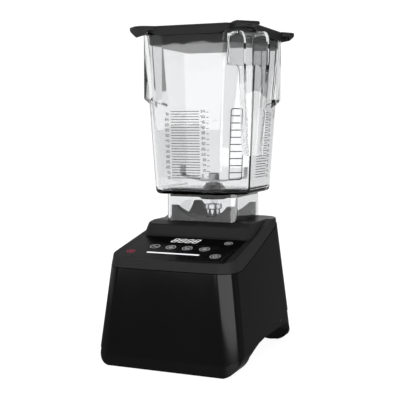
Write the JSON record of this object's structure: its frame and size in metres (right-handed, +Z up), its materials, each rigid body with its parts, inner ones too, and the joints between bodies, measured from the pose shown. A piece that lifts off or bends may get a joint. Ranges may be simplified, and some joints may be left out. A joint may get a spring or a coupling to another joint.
{
  "type": "countertop blender",
  "caption": "Countertop blender with a slanted touch panel base, a clear square jar with a side handle, a turning blade and a lift-off lid.",
  "frame": {"origin": "table level, at the middle of the machine's overall outline; the drive axis stands 4.65 mm to the left of it and 36 mm behind it", "axes": "+Z up, the control panel faces -Y, +X is to the right of a user who faces the panel"},
  "size_m": [0.202, 0.2537, 0.428],
  "materials": {
    "black_gloss": "satin gloss",
    "black_satin": "satin",
    "panel_black": "semi gloss",
    "lens_black": "high gloss",
    "clear_plastic": "clear",
    "lid_rubber": "satin",
    "black_rubber": "matte",
    "blade_steel": "brushed",
    "chrome": "polished",
    "plated_steel": "plated",
    "cast_aluminium": "cast",
    "lamination_steel": "laminated",
    "copper": "enamelled wire",
    "carbon": "matte",
    "board_green": "solder mask",
    "nylon": "moulded",
    "dark_blue_sleeve": "sleeve"
  },
  "bodies": {
    "base": {"housing_shell": "black_gloss", "deck_cover": "black_satin", "touch_panel": "panel_black", "display_lens": "lens_black", "display_module": "black_satin", "control_board": "board_green", "board_spacers": "nylon", "jar_seat": "black_satin", "chassis_pan": "black_satin", "chassis_screws": "plated_steel", "rubber_feet": "black_rubber", "power_board": "board_green", "filter_capacitor": "dark_blue_sleeve", "choke_coil": "copper", "heat_sink": "cast_aluminium", "motor_mounts": "black_rubber", "lower_bracket": "cast_aluminium", "upper_bracket": "cast_aluminium", "lower_bearing": "plated_steel", "upper_bearing": "plated_steel", "motor_bolts": "plated_steel", "stator_core": "lamination_steel", "field_coils": "copper", "brush_holders": "nylon", "carbon_brushes": "carbon", "fan_shroud": "black_satin", "rear_grille": "black_satin", "switch_frame": "black_satin", "cord_gland": "black_rubber"},
    "rotor": {"motor_shaft": "plated_steel", "rotor_core": "lamination_steel", "rotor_winding": "copper", "commutator": "copper", "cooling_fan": "nylon", "drive_socket": "chrome"},
    "jar": {"jar_body": "clear_plastic", "base_gasket": "black_rubber", "bearing_housing": "plated_steel", "flange_nut": "plated_steel", "shaft_seal": "black_rubber"},
    "blade_set": {"blade_spindle": "plated_steel", "drive_spline": "chrome", "blade": "blade_steel", "hex_nut": "plated_steel", "blade_washer": "plated_steel"},
    "lid": {"lid": "lid_rubber"},
    "rocker": {"power_rocker": "black_gloss"}
  },
  "joints": [
    {"name": "motor_spin", "type": "hinge", "parent": "base", "child": "rotor", "pos_m": [-0.00465, 0.03605, 0.1], "axis": [0, 0, 1], "continuous": true},
    {"name": "jar_lift", "type": "slide", "parent": "base", "child": "jar", "axis": [0, 0, 1], "range_m": [0, 0.08]},
    {"name": "blade_spin", "type": "hinge", "parent": "jar", "child": "blade_set", "pos_m": [-0.00465, 0.03605, 0.226], "axis": [0, 0, 1], "continuous": true},
    {"name": "lid_lift", "type": "slide", "parent": "jar", "child": "lid", "axis": [0, 0, 1], "range_m": [0, 0.12]},
    {"name": "rocker_tilt", "type": "hinge", "parent": "base", "child": "rocker", "pos_m": [0.04735, 0.10148, 0.07197], "axis": [1, 0, 0], "range_deg": [0, 20]}
  ],
  "couplings": [
    {"joint": "blade_spin", "follows": "motor_spin", "ratio": 1}
  ]
}
